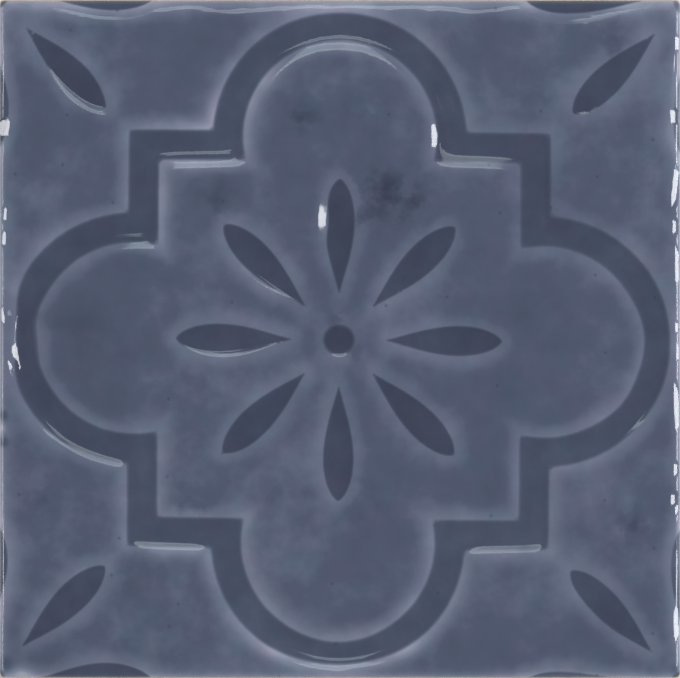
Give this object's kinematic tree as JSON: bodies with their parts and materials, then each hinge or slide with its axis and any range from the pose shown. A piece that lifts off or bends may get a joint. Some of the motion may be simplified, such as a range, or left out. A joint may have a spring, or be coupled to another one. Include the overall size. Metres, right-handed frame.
{
  "type": "ceramic wall tile",
  "caption": "Square ceramic wall tile with a pressed barbed-quatrefoil and petal-rosette relief under a thick translucent glaze.",
  "frame": {"origin": "centre of the tile's back, on the plane of the ribs that the tile lies on", "axes": "+Z out of the glazed face, +Y towards the top of the pictured pattern, +X to its right"},
  "size_m": [0.15, 0.15, 0.009],
  "materials": {
    "biscuit": "unglazed fired clay, dry matt, fine grain",
    "engobe": "fired white slip, dry matt",
    "glaze": "thick translucent slate-blue glaze, mirror gloss, pale on arrises and dark where it pools"
  },
  "bodies": {
    "root": {"biscuit_body": "biscuit", "engobe_layer": "engobe", "glaze_coat": "glaze"}
  },
  "joints": []
}
